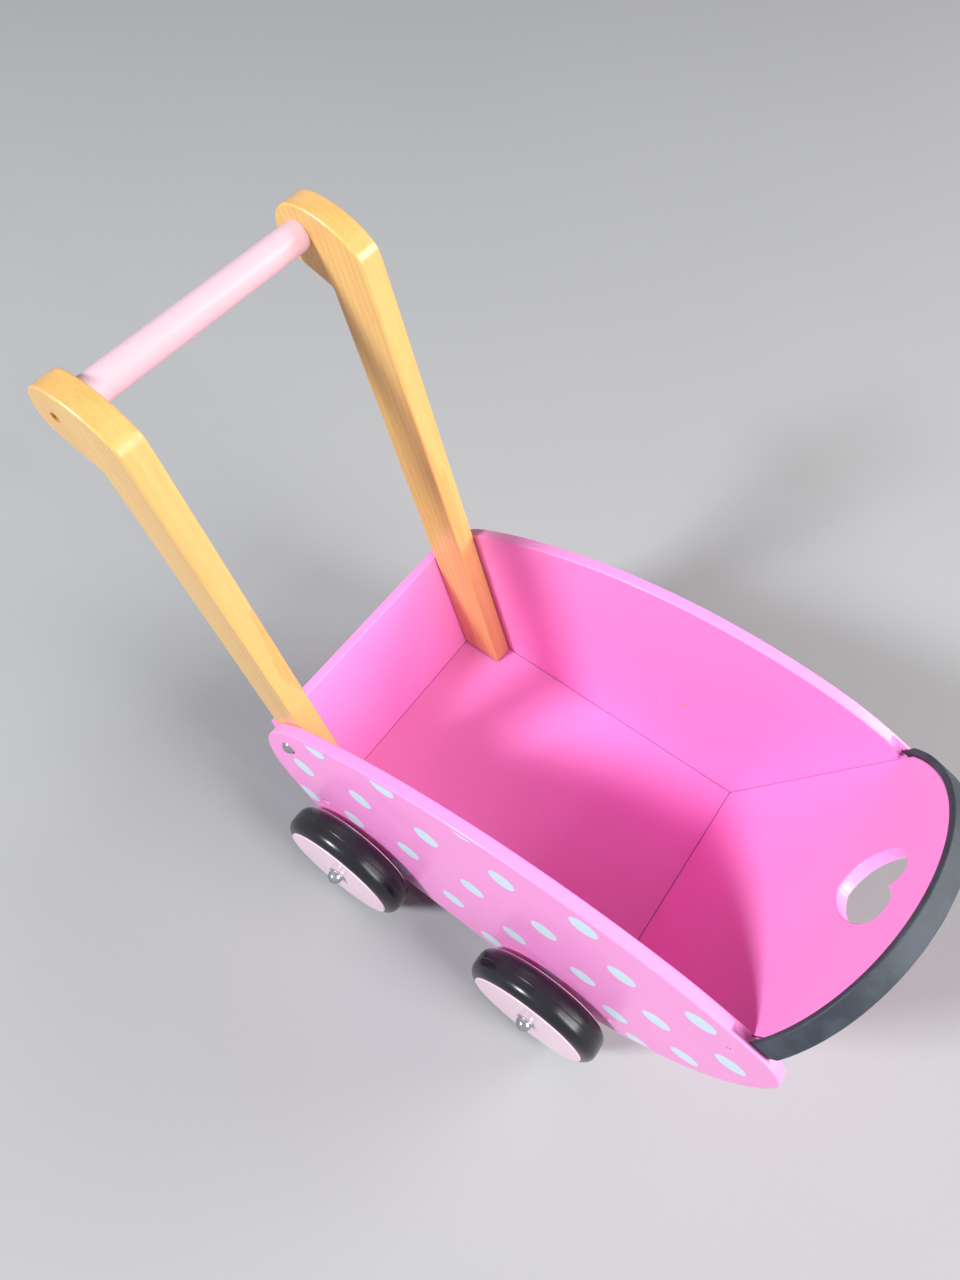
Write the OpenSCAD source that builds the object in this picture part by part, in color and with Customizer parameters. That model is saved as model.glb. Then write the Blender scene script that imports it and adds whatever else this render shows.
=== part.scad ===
// Wooden doll stroller: a painted panel tub on four wheels, with a push handle.
// X runs forward, Y to the left and Z up. The origin is on the ground, below the
// middle of the whole object's box.

/* [Tub] */
// Overall width across the two side panels
tub_w = 250; // [210:1:300]
// Thickness of every tub panel
panel_t = 10; // [8:0.5:12]
// Height of the floor's top face above the axles
floor_rise = 20; // [17.5:0.5:24]
// Length of the floor's top face
floor_len = 295; // [270:1:310]
// Lean of the rear panel, from upright
rear_lean = 19; // [14:0.5:22]
// Height of the rear panel, measured up its slope
rear_len = 121; // [118:1:140]

/* [Side panel outline] */
// Depth of the side panels' bottom edge below the floor's top face
side_drop = 34; // [30:0.5:38]
// Distance of the rear round's centre from the floor's rear end
rear_round_x = 42.7; // [38:0.1:48]
// Height of the rear round's centre above the floor's top face
rear_round_rise = 78; // [72:0.5:84]
// Radius of the rear round
rear_round_r = 90.6; // [86:0.1:96]
// Radius of the lower rear corner
heel_r = 35; // [20:1:45]
// Direction in which the edge between rear round and lower corner faces
heel_a = 213; // [208:0.5:218]
// Direction in which the edge faces where rear round and top edge meet
crown_a = 120.9; // [119:0.1:123]
// Radius of the shoulder ahead of the top edge
shoulder_r = 262; // [230:1:290]
// Direction in which the edge faces where top edge and shoulder meet
shoulder_a = 83.8; // [81:0.1:87]
// Radius of the nose
nose_r = 39; // [30:0.5:46]
// Distance of the nose's centre ahead of the floor's front end
nose_x = 71.1; // [66:0.1:76]
// Direction in which the edge faces where shoulder and nose meet
brow_a = 65.6; // [62:0.1:68]
// Radius of the front edge under the nose
belly_r = 228; // [215:1:250]
// Direction in which the edge faces where nose and front edge meet
chin_a = -2.2; // [-5:0.1:0]
// Radius of the lower front corner
toe_r = 100; // [70:1:105]

/* [Front panel] */
// Lean of the front panel, from upright
front_lean = 21; // [18:0.5:23]
// Amount by which the arch's radius exceeds half the panel's width
arch_over = 12; // [9:0.5:16]
// Distance of the arch's centre up the slope
arch_s = 174; // [166:0.5:178]
// Width of the heart
heart_w = 58; // [44:1:70]
// Overlap of the heart's two lobes
heart_overlap = 4; // [2:0.5:10]
// Depth of the heart's point below its lobes' centres
heart_drop = 36.2; // [32:0.1:44]
// Distance of the lobes' centres below the top of the arch
heart_inset = 44.5; // [36:0.5:56]

/* [Bumper strip] */
// Thickness of the strip
bumper_t = 5; // [4:0.1:6.5]
// Width of the strip
bumper_w = 16.5; // [14:0.5:18]
// Amount by which the strip stands proud of the front panel's inner face
bumper_proud = 2.8; // [1:0.1:4]
// Length of each end that is let into a side panel
bumper_reach = 6; // [4:0.1:7.5]
// Slope of the run-in behind each end
ramp_a = 12; // [8:1:20]
// Height of the run-in's foot above the bottom of the pocket
ramp_step = 3; // [1:0.1:4]

/* [Handle] */
// Width of the straight part of each arm
arm_w = 38.5; // [32:0.5:44]
// Thickness of each arm
arm_t = 20; // [18:0.5:24]
// Length of the straight part, measured up the slope on its centreline
arm_len = 402.7; // [340:1:440]
// Width of each arm's head
head_w = 43; // [36:0.5:48]
// Rise of the head above level, towards its end
head_rise = 16.5; // [8:0.5:28]
// Distance from the bend to the centre of the head's round end
head_len = 41.8; // [34:0.1:60]
// Radius of the head's arched top
head_arch_r = 80; // [74:1:100]
// Direction in which the edge faces where arched top and round end meet
head_arch_a = 96; // [93:0.5:98]
// Radius of the outside of the bend
bend_r = 14; // [8:1:20]
// Radius of the inside of the bend
crook_r = 5.5; // [3:0.5:10]
// Diameter of the grip
grip_d = 22; // [18:0.5:28]

/* [Wheels] */
// Distance between the two axles
wheelbase = 208; // [196:1:212]
// Distance of the rear axle from the floor's rear end
rear_axle_x = 45; // [42:1:52]
// Diameter of the wheel discs
disc_d = 108; // [98:1:112]
// Height of the tyres above the discs
tyre_h = 9; // [7:0.5:12]
// Width of the wheel discs
wheel_w = 30.5; // [24:0.5:34]
// Depth of the tyre's seat in the disc's rim
tyre_seat = 2; // [1:0.5:4]
// Width of the lip at either side of the seat
rim_lip = 3.25; // [2:0.25:5]
// Set-back of each side of the tyre from the disc's face
tyre_set = 1; // [0.5:0.1:1.8]
// Radius of the tyre's shoulders
tyre_round = 10; // [5:0.5:11]
// Gap between side panel and wheel
wheel_gap = 4.5; // [3:0.5:8]

/* [Axles] */
// Diameter of the axle rods
axle_d = 8; // [6:0.5:9]
// Wall of the hub bushes
bush_wall = 3; // [2:0.5:5]
// Width of the spacer washers' ring
spacer_ring = 6; // [4:0.5:8]
// Thickness of the outer washers
washer_t = 1; // [0.8:0.1:2]
// Amount by which the outer washers show around the cap nuts
washer_lip = 1.5; // [1:0.1:3]
// Wall of the domed cap nuts
cap_wall = 3; // [2:0.1:4]
// Length of the straight part of the cap nuts
cap_skirt = 1.7; // [1:0.1:4]

/* [Fasteners] */
// Diameter of the wood screws
screw_d = 4; // [3:0.5:4.5]
// Diameter of the wood screws' heads
screw_head_d = 7.6; // [6.6:0.2:8.6]
// Length of the wood screws
screw_len = 25; // [20:1:27]
// Depth to which the wood screws' heads are sunk
screw_sink = 0.8; // [0:0.1:2]
// Length of the screws that hold the grip
grip_screw_len = 42; // [32:1:55]
// Depth to which the grip screws' heads are sunk
grip_screw_sink = 4; // [2:0.5:7]
// Diameter of the arm bolts
bolt_d = 6; // [5:0.5:7]
// Diameter of the arm bolts' domed heads
bolt_head_d = 13; // [11:0.5:16]
// Height of the arm bolts' domed heads
bolt_head_h = 4; // [3:0.1:5]
// Wall of the threaded inserts in the arms
insert_wall = 1.5; // [1:0.1:2.5]
// Length of the threaded inserts
insert_len = 13; // [8:0.5:15]
// Distance of the arm bolts below the rear panel's top edge
arm_bolt_inset = 6; // [4:0.5:16]
// Distance of the lower arm screws up the rear slope
arm_screw_s = 29; // [20:1:38]
// Distance of the rear panel's lower screws up the rear slope
rear_screw_low = 52; // [46:1:60]
// Distance of the rear panel's upper screws up the rear slope
rear_screw_high = 90; // [80:1:94]
// Distance of the front panel's lower screws up the front slope
front_screw_low = 18; // [14:1:40]
// Distance of the front panel's upper screws up the front slope
front_screw_high = 192.5; // [150:0.5:196]
// Distance of the floor's screws from its ends
floor_screw_inset = 70; // [58:1:110]

/* [Clearances] */
// Radial running clearance of the wheels on their axles
axle_clear = 0.08; // [0.03:0.01:0.1]
// Clearance around seated pins, screws, bushes and tyres
seat_clear = 0.05; // [0.02:0.01:0.1]
// End play of each wheel at either side
end_play = 0.3; // [0.2:0.05:0.5]
// Clearance of the bumper strip over the arch and in its pockets
bumper_clear = 0.3; // [0.2:0.05:0.5]

/* [Hidden] */
$fn = 96;
cut = 1;

pink = [0.96, 0.50, 0.86];
pale_pink = [0.95, 0.82, 0.90];
beech = [0.92, 0.74, 0.46];
slate = [0.24, 0.28, 0.31];
steel = [0.75, 0.75, 0.78];

half_w = tub_w / 2;
inner_half_w = half_w - panel_t;
grip_half_len = inner_half_w - arm_t;
disc_r = disc_d / 2;
tyre_r = disc_r + tyre_h;
axle_r = axle_d / 2;
axle_z = tyre_r;
floor_z = axle_z + floor_rise;
side_bottom_z = floor_z - side_drop;
front_axle_x = rear_axle_x + wheelbase;

// Both slopes start from the floor's top edge, in the X-Z plane.
function polar(a) = [cos(a), sin(a)];
function on_rear(s, depth) = [0, floor_z] + s * polar(90 + rear_lean) + depth * polar(rear_lean);
function on_front(s, depth) =
    [floor_len, floor_z] + s * polar(90 - front_lean) + depth * polar(-front_lean);

// The points of an arc from angle a to angle b, about `step` apart.
function arc(centre, r, a, b, step = 4) =
    let (n = max(2, ceil(abs(b - a) * PI / 180 * r / step)))
    [for (i = [0:n]) centre + r * polar(a + (b - a) * i / n)];

// The side panel's outline is a chain of arcs, each tangent to the next.
rear_round_c = [rear_round_x, floor_z + rear_round_rise];
top_r = (floor_len + nose_x - rear_round_x - rear_round_r * cos(crown_a)
    + shoulder_r * cos(shoulder_a) - (shoulder_r - nose_r) * cos(brow_a))
    / (cos(shoulder_a) - cos(crown_a));
top_c = rear_round_c + (rear_round_r - top_r) * polar(crown_a);
shoulder_c = top_c + (top_r - shoulder_r) * polar(shoulder_a);
nose_c = shoulder_c + (shoulder_r - nose_r) * polar(brow_a);
belly_c = nose_c + (nose_r - belly_r) * polar(chin_a);
toe_a = asin((side_bottom_z + toe_r - belly_c[1]) / (belly_r - toe_r));
toe_c = belly_c + (belly_r - toe_r) * polar(toe_a);
heel_z = side_bottom_z + heel_r;
heel_x = rear_round_x
    + (rear_round_r - heel_r - (heel_z - rear_round_c[1]) * sin(heel_a)) / cos(heel_a);
side_outline = concat(
    arc([heel_x, heel_z], heel_r, 270, heel_a),
    arc(rear_round_c, rear_round_r, heel_a, crown_a),
    arc(top_c, top_r, crown_a, shoulder_a),
    arc(shoulder_c, shoulder_r, shoulder_a, brow_a),
    arc(nose_c, nose_r, brow_a, chin_a),
    arc(belly_c, belly_r, chin_a, toe_a),
    arc(toe_c, toe_r, toe_a, -90));

// An arm is a straight bar, a rounded bend and a head with an arched top and a round end.
bar_side = polar(rear_lean);
head_side = polar(90 - head_rise);
bend = on_rear(arm_len, arm_w / 2);
head_c = bend + head_len * polar(180 - head_rise);
// The point that lies p in front of the bar's centreline and q above the head's.
function beside(p, q) = bend + [p * head_side[1] - q * bar_side[1],
    q * bar_side[0] - p * head_side[0]] / (bar_side[0] * head_side[1] - bar_side[1] * head_side[0]);
head_arch_c = head_c - (head_arch_r - head_w / 2) * polar(head_arch_a);
// The bend touches the bar's front edge and the arched top.
bar_way = polar(90 + rear_lean);
bend_low = bend + (arm_w / 2 - bend_r) * bar_side - head_arch_c;
bend_c = head_arch_c + bend_low + bar_way * (sqrt(pow(bend_low * bar_way, 2) - bend_low * bend_low
    + pow(head_arch_r - bend_r, 2)) - bend_low * bar_way);
bend_a = atan2(bend_c[1] - head_arch_c[1], bend_c[0] - head_arch_c[0]);
crook_c = beside(-arm_w / 2 - crook_r, -head_w / 2 - crook_r);
arm_outline = concat(
    [[0, floor_z], [arm_w / cos(rear_lean), floor_z]],
    arc(bend_c, bend_r, rear_lean, bend_a, 1.5),
    arc(head_arch_c, head_arch_r, bend_a, head_arch_a),
    arc(head_c, head_w / 2, head_arch_a, 270 - head_rise, 1.5),
    arc(crook_c, crook_r, 90 - head_rise, rear_lean, 1));

// The front panel's arch, its heart and the strip over it, up the front slope.
arch_r = inner_half_w + arch_over;
strip_r = arch_r + bumper_clear;
strip_end_y = inner_half_w + bumper_reach;
strip_end_s = arch_s + sqrt(strip_r * strip_r - strip_end_y * strip_end_y);
pocket_s = strip_end_s - bumper_clear;
pocket_back = -bumper_proud - bumper_clear;
pocket_front = bumper_w - bumper_proud + bumper_clear;
pocket_h = 60;
ramp_len = 30;
heart_s = arch_s + arch_r - heart_inset;
heart_half = heart_w / 2;
heart_lobe_r = (heart_half + heart_overlap / 2) / 2;
heart_point_r = (heart_drop * heart_drop + heart_half * heart_half) / heart_w;

// Screws and bolts.
screw_r = screw_d / 2;
screw_head_r = screw_head_d / 2;
bolt_r = bolt_d / 2;
insert_r = bolt_r + seat_clear + insert_wall;
dome_r = (bolt_head_d * bolt_head_d / 4 + bolt_head_h * bolt_head_h) / (2 * bolt_head_h);
arm_bolt_at = on_rear(rear_len - arm_bolt_inset, arm_w / 2);
arm_screw_at = on_rear(arm_screw_s, arm_w / 2);
front_screws_at = [for (s = [front_screw_low, front_screw_high]) on_front(s, panel_t / 2)];
floor_screws_at = [for (x = [floor_screw_inset, floor_len - floor_screw_inset])
    [x, floor_z - panel_t / 2]];

// Wheels, washers and nuts stack outward along each axle.
wheel_in_y = half_w + wheel_gap;
wheel_out_y = wheel_in_y + wheel_w;
washer_y = wheel_out_y + end_play;
cap_y = washer_y + washer_t;
cap_r = axle_r + cap_wall;
axle_half_len = cap_y + cap_skirt + cap_r - cap_wall;
bush_r = axle_r + axle_clear + bush_wall;

// Half of the object's overall length, ahead of and behind the floor's rear end.
front_x = on_front(arch_s + strip_r + bumper_t, bumper_w - bumper_proud)[0];
rear_x = head_c[0] - head_w / 2;
origin_x = (front_x + rear_x) / 2;

module placed() {
    translate([-origin_x, 0, 0]) children();
}

// A slab of an X-Z outline, from y to y + t.
module slab(y, t) {
    translate([0, y + t, 0]) rotate([90, 0, 0]) linear_extrude(t) children();
}

// Children drawn across, up the slope and out of the front panel's inner face.
module front_slope() {
    translate([floor_len, 0, floor_z]) rotate([0, front_lean, 0]) rotate([90, 0, 90]) children();
}

// Children drawn across, up the slope and forward of the rear panel's inner face.
module rear_slope() {
    translate([0, 0, floor_z]) rotate([0, -rear_lean, 0]) rotate([90, 0, 90]) children();
}

// Children drawn on the right side at height y, with their own Z outward.
module right_side(at, y = half_w) {
    translate([at[0], -y, at[1]]) rotate([90, 0, 0]) children();
}

module left_too() {
    children();
    mirror([0, 1, 0]) children();
}

// A wood screw whose head's top is at the origin and whose shank points down.
module screw(len, grow = 0) {
    head_h = screw_head_r - screw_r;
    translate([0, 0, -head_h]) cylinder(h = head_h, r1 = screw_r + grow, r2 = screw_head_r + grow);
    translate([0, 0, -len - grow]) cylinder(h = len + grow, r = screw_r + grow);
}

module sunk_screw(len = screw_len, sink = screw_sink) {
    translate([0, 0, -sink]) screw(len);
}

module screw_hole(len = screw_len, sink = screw_sink) {
    translate([0, 0, -sink]) {
        screw(len, seat_clear);
        cylinder(h = sink + cut, r = screw_head_r + seat_clear);
    }
}

module grip_screw_hole() {
    screw_hole(grip_screw_len, grip_screw_sink);
}

module bolt_hole() {
    translate([0, 0, -panel_t - cut]) cylinder(h = panel_t + 2 * cut, r = bolt_r + seat_clear);
}

// The holes of every fastener that crosses the right side panel's joints.
module side_screw_holes() {
    right_side(arm_screw_at) screw_hole();
    for (at = concat(front_screws_at, floor_screws_at)) right_side(at) screw_hole();
}

module rear_screw_places() {
    for (s = [rear_screw_low, rear_screw_high], side = [-1, 1])
        rear_slope() translate([side * (inner_half_w - arm_t / 2), s, -panel_t])
            mirror([0, 0, 1]) children();
}

module grip_screw_places() {
    left_too() right_side(head_c, inner_half_w) children();
}

// The bumper strip's pocket in the right side panel, with its run-in.
module pocket() {
    front_slope() translate([cut - inner_half_w, 0, 0]) rotate([0, -90, 0])
        linear_extrude(bumper_reach + bumper_clear + cut)
            polygon([
                [pocket_front, pocket_s],
                [pocket_front, pocket_s + pocket_h],
                [pocket_back - ramp_len, pocket_s + pocket_h],
                [pocket_back - ramp_len, pocket_s + ramp_step + ramp_len * tan(ramp_a)],
                [pocket_back, pocket_s + ramp_step],
                [pocket_back, pocket_s]]);
}

module side_panel() {
    color(pink) placed() difference() {
        slab(-half_w, panel_t) polygon(side_outline);
        pocket();
        side_screw_holes();
        right_side(arm_bolt_at) bolt_hole();
        for (x = [rear_axle_x, front_axle_x]) right_side([x, axle_z]) translate([0, 0, -panel_t - cut])
            cylinder(h = panel_t + 2 * cut, r = axle_r + seat_clear);
    }
}

module side_panel_right() {
    side_panel();
}

module side_panel_left() {
    mirror([0, 1, 0]) side_panel();
}

module floor_panel() {
    rear_low = on_rear(-panel_t / cos(rear_lean), 0)[0];
    front_low = on_front(-panel_t / cos(front_lean), 0)[0];
    color(pink) placed() difference() {
        slab(-inner_half_w, 2 * inner_half_w) polygon([
            [0, floor_z], [rear_low, floor_z - panel_t],
            [front_low, floor_z - panel_t], [floor_len, floor_z]]);
        left_too() side_screw_holes();
    }
}

// Everything below the floor's underside, which trims both end panels level.
module under_floor() {
    reach = 2 * floor_len;
    translate([-reach, -half_w, floor_z - panel_t - reach]) cube([3 * reach, tub_w, reach]);
}

module rear_panel() {
    foot_len = 2 * panel_t;
    color(pink) placed() difference() {
        rear_slope() translate([-inner_half_w, -foot_len, -panel_t])
            cube([2 * inner_half_w, rear_len + foot_len, panel_t]);
        under_floor();
        rear_screw_places() screw_hole();
    }
}

module heart() {
    for (side = [-1, 1]) translate([side * (heart_half - heart_lobe_r), heart_s])
        circle(r = heart_lobe_r);
    intersection() {
        for_point(-1);
        for_point(1);
        translate([-heart_half, heart_s - heart_drop]) square([heart_w, heart_drop]);
    }
}

// One of the two discs whose overlap is the heart's point.
module for_point(side) {
    translate([side * (heart_point_r - heart_half), heart_s]) circle(r = heart_point_r);
}

module front_panel() {
    foot_len = 2 * panel_t;
    color(pink) placed() difference() {
        front_slope() linear_extrude(panel_t) difference() {
            union() {
                translate([-inner_half_w, -foot_len]) square([2 * inner_half_w, arch_s + foot_len]);
                intersection() {
                    translate([0, arch_s]) circle(r = arch_r, $fn = 180);
                    translate([-inner_half_w, arch_s - cut]) square([2 * inner_half_w, 2 * arch_r]);
                }
            }
            heart();
        }
        under_floor();
        left_too() side_screw_holes();
    }
}

module bumper_strip() {
    color(slate) placed() front_slope() translate([0, arch_s, -bumper_proud]) linear_extrude(bumper_w)
        intersection() {
            difference() {
                circle(r = strip_r + bumper_t, $fn = 180);
                circle(r = strip_r, $fn = 180);
            }
            translate([-strip_end_y, 0]) square([2 * strip_end_y, 2 * strip_r]);
        }
}

module handle_arm() {
    color(beech) placed() difference() {
        slab(-inner_half_w, arm_t) polygon(arm_outline);
        right_side(arm_screw_at) screw_hole();
        right_side(arm_bolt_at, inner_half_w) translate([0, 0, -insert_len - seat_clear])
            cylinder(h = insert_len + cut, r = insert_r + seat_clear);
        rear_screw_places() screw_hole();
        grip_screw_places() grip_screw_hole();
    }
}

module handle_arm_right() {
    handle_arm();
}

module handle_arm_left() {
    mirror([0, 1, 0]) handle_arm();
}

module handle_grip() {
    color(pale_pink) placed() difference() {
        right_side(head_c, -grip_half_len) cylinder(h = 2 * grip_half_len, d = grip_d);
        grip_screw_places() grip_screw_hole();
    }
}

module grip_screws() {
    color(steel) placed() grip_screw_places() sunk_screw(grip_screw_len, grip_screw_sink);
}

module arm_bolts() {
    shank_len = panel_t + insert_len - cut;
    color(steel) placed() left_too() right_side(arm_bolt_at) {
        intersection() {
            translate([0, 0, bolt_head_h - dome_r]) sphere(r = dome_r);
            cylinder(h = 2 * bolt_head_h, d = 2 * bolt_head_d);
        }
        translate([0, 0, -shank_len]) cylinder(h = shank_len + cut, r = bolt_r);
    }
}

module arm_inserts() {
    color(steel) placed() left_too() right_side(arm_bolt_at, inner_half_w)
        translate([0, 0, -insert_len]) difference() {
            cylinder(h = insert_len, r = insert_r);
            translate([0, 0, -cut]) cylinder(h = insert_len + 2 * cut, r = bolt_r + seat_clear);
        }
}

module arm_screws() {
    color(steel) placed() left_too() right_side(arm_screw_at) sunk_screw();
}

module rear_panel_screws() {
    color(steel) placed() rear_screw_places() sunk_screw();
}

module front_panel_screws() {
    color(steel) placed() left_too() for (at = front_screws_at) right_side(at) sunk_screw();
}

module floor_screws() {
    color(steel) placed() left_too() for (at = floor_screws_at) right_side(at) sunk_screw();
}

module axle(x) {
    color(steel) placed() right_side([x, axle_z], -axle_half_len)
        cylinder(h = 2 * axle_half_len, r = axle_r);
}

module front_axle() {
    axle(front_axle_x);
}

module rear_axle() {
    axle(rear_axle_x);
}

// Rings on all four axle ends, from y outward to y + t.
module axle_rings(y, t, r) {
    left_too() for (x = [rear_axle_x, front_axle_x]) right_side([x, axle_z], y) difference() {
        cylinder(h = t, r = r);
        translate([0, 0, -cut]) cylinder(h = t + 2 * cut, r = axle_r + seat_clear);
    }
}

module spacer_washers() {
    color(steel) placed() axle_rings(half_w, wheel_gap - end_play, axle_r + spacer_ring);
}

module outer_washers() {
    color(steel) placed() axle_rings(washer_y, washer_t, cap_r + washer_lip);
}

module cap_nuts() {
    bore_len = axle_half_len - cap_y + seat_clear;
    color(steel) placed() left_too() for (x = [rear_axle_x, front_axle_x])
        right_side([x, axle_z], cap_y) difference() {
            union() {
                cylinder(h = cap_skirt, r = cap_r);
                intersection() {
                    translate([0, 0, cap_skirt]) sphere(r = cap_r);
                    cylinder(h = cap_skirt + 2 * cap_r, r = 2 * cap_r);
                }
            }
            translate([0, 0, -cut]) cylinder(h = bore_len + cut, r = axle_r + seat_clear);
        }
}

// Children drawn on a wheel's centre, with their own Z outward.
module on_wheel(x, side) {
    placed() translate([x, side * (wheel_in_y + wheel_out_y) / 2, axle_z])
        rotate([-90 * side, 0, 0]) children();
}

// A ring drawn as a rectangle from r_in to r_out and of width w, centred.
module ring_section(r_in, r_out, w) {
    translate([r_in, -w / 2]) square([r_out - r_in, w]);
}

module wheel_disc(x, side) {
    bore_r = bush_r + seat_clear;
    color(pale_pink) on_wheel(x, side) rotate_extrude($fn = 144) difference() {
        ring_section(bore_r, disc_r, wheel_w);
        ring_section(disc_r - tyre_seat, disc_r + cut, wheel_w - 2 * rim_lip);
    }
}

module tyre(x, side) {
    w = wheel_w - 2 * tyre_set;
    tongue_r = disc_r - tyre_seat + seat_clear;
    color([0.06, 0.06, 0.07]) on_wheel(x, side) rotate_extrude($fn = 144) {
        ring_section(tongue_r, disc_r + 2 * seat_clear, wheel_w - 2 * rim_lip - 2 * seat_clear);
        intersection() {
            ring_section(disc_r + seat_clear, tyre_r, w);
            union() {
                ring_section(0, tyre_r, w - 2 * tyre_round);
                ring_section(0, tyre_r - tyre_round, w);
                for (end = [-1, 1]) translate([tyre_r - tyre_round, end * (w / 2 - tyre_round)])
                    circle(r = tyre_round);
            }
        }
    }
}

module hub_bush(x, side) {
    color("white") on_wheel(x, side) translate([0, 0, -wheel_w / 2]) difference() {
        cylinder(h = wheel_w, r = bush_r);
        translate([0, 0, -cut]) cylinder(h = wheel_w + 2 * cut, r = axle_r + axle_clear);
    }
}

side_panel_right();
side_panel_left();
floor_panel();
rear_panel();
front_panel();
bumper_strip();
handle_arm_right();
handle_arm_left();
handle_grip();
grip_screws();
arm_bolts();
arm_inserts();
arm_screws();
rear_panel_screws();
front_panel_screws();
floor_screws();
front_axle();
rear_axle();
spacer_washers();
outer_washers();
cap_nuts();
wheel_disc(front_axle_x, -1);  // wheel_disc_front_right
wheel_disc(front_axle_x, 1);  // wheel_disc_front_left
wheel_disc(rear_axle_x, -1);  // wheel_disc_rear_right
wheel_disc(rear_axle_x, 1);  // wheel_disc_rear_left
tyre(front_axle_x, -1);  // tyre_front_right
tyre(front_axle_x, 1);  // tyre_front_left
tyre(rear_axle_x, -1);  // tyre_rear_right
tyre(rear_axle_x, 1);  // tyre_rear_left
hub_bush(front_axle_x, -1);  // hub_bush_front_right
hub_bush(front_axle_x, 1);  // hub_bush_front_left
hub_bush(rear_axle_x, -1);  // hub_bush_rear_right
hub_bush(rear_axle_x, 1);  // hub_bush_rear_left
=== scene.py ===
"""Doll stroller: a dotted tub with a heart cut-out, a bumper strip, beech handle arms and rubber-tyred wheels."""

import math

import bmesh
import bpy
from bpy.props import FloatProperty, FloatVectorProperty, IntProperty, PointerProperty
from mathutils import Matrix, Vector


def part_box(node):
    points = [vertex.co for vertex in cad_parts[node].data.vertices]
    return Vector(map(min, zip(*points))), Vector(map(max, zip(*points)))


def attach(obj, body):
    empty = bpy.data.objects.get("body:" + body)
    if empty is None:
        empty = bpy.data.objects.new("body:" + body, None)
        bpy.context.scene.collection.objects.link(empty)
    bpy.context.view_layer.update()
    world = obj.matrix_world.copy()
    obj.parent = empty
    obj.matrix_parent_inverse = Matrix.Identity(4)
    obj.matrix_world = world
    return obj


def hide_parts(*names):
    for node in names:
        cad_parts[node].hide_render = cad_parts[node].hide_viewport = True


bl_info = {
    "name": "Doll Stroller",
    "version": (1, 0, 0),
    "blender": (4, 5, 0),
    "location": "View3D > Sidebar > Doll Stroller",
    "description": "Finishes the boards, handle, wheels and fasteners of a wooden doll stroller",
    "category": "Object",
}

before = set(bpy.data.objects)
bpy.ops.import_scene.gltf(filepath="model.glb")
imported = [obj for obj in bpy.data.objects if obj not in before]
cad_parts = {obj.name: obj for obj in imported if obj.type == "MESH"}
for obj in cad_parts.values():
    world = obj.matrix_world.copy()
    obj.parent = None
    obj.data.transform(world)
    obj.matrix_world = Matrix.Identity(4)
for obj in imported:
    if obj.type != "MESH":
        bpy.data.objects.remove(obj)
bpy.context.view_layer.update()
WHEELS = ("front_right", "front_left", "rear_right", "rear_left")
REAR_LEAN = math.radians(19)
GRAIN = Vector((-math.sin(REAR_LEAN), 0, math.cos(REAR_LEAN)))
REAR_OUTWARD = Vector((-math.cos(REAR_LEAN), 0, -math.sin(REAR_LEAN)))
INNER_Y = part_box("handle_arm_left")[1].y
FLOOR_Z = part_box("handle_arm_left")[0].z
MM = 0.001
# Beside the arms the side panels' rim is the line z = RIM_LEVEL + RIM_SLOPE * x, and the arms' backs are
# the plane x + z * tan(REAR_LEAN) = ARM_BACK.
RIM_SLOPE, RIM_LEVEL = 1.23, 395.2 * MM
ARM_BACK = -93.0 * MM


# Settings


def length(name, description, default, low=0.0, high=0.5):
    return FloatProperty(name=name, description=description, default=default, min=low, max=high,
                         unit="LENGTH", subtype="DISTANCE", precision=5)


def colour(name, description, default):
    return FloatVectorProperty(name=name, description=description, default=default, size=3,
                               min=0, max=1, subtype="COLOR")


def pair(name, description, default):
    return FloatVectorProperty(name=name, description=description, default=default, size=2,
                               unit="LENGTH", subtype="XYZ", precision=4)


def power(name, description, default):
    return FloatProperty(name=name, description=description, default=default, unit="POWER")


def angle(name, description, degrees):
    return FloatProperty(name=name, description=description, default=math.radians(degrees), subtype="ANGLE",
                         unit="ROTATION")


class StrollerFinishSettings(bpy.types.PropertyGroup):
    """Colours of the paints, the beech and the rubber"""

    pink: colour("Pink paint", "Colour of the tub's boards", (0.97, 0.31, 0.71))
    dots: colour("Dots", "Colour of the dots on the side panels", (0.66, 0.80, 0.90))
    pale_pink: colour("Pale pink paint", "Colour of the wheel discs", (0.90, 0.64, 0.75))
    grip_pink: colour("Grip paint", "Colour of the grip", (0.665, 0.450, 0.510))
    beech_light: colour("Beech, light", "Colour of the beech between its streaks", (0.80, 0.49, 0.155))
    beech_dark: colour("Beech, dark", "Colour of the beech's streaks and end grain", (0.60, 0.29, 0.07))
    tyre: colour("Tyre rubber", "Colour of the tyres", (0.010, 0.010, 0.013))
    strip: colour("Bumper foam", "Colour of the bumper strip", (0.024, 0.031, 0.043))
    dot_size: length("Dot diameter", "Diameter of each dot", 22.5 * MM)
    dot_margin: length("Dot margin", "Width of the bare border along the side panels' outer edges", 4.0 * MM)
    dot_origin: pair("First dot", "Place of the first dot's centre, forward and up", (44.2 * MM, 186.3 * MM))
    dot_along: pair("Step along", "From each dot to the next along its row", (63.8 * MM, 30.4 * MM))
    dot_up: pair("Step up", "From each row to the next", (-44.5 * MM, 45.9 * MM))
    dot_fan: pair("Fan", "Growth of the step along with each row", (2.8 * MM, -0.3 * MM))
    dot_taper: FloatVectorProperty(
        name="Taper", description="Share by which steps along and up shrink, times the cube of their count",
        default=(0.008, 0.016), size=2, precision=4)


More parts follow.
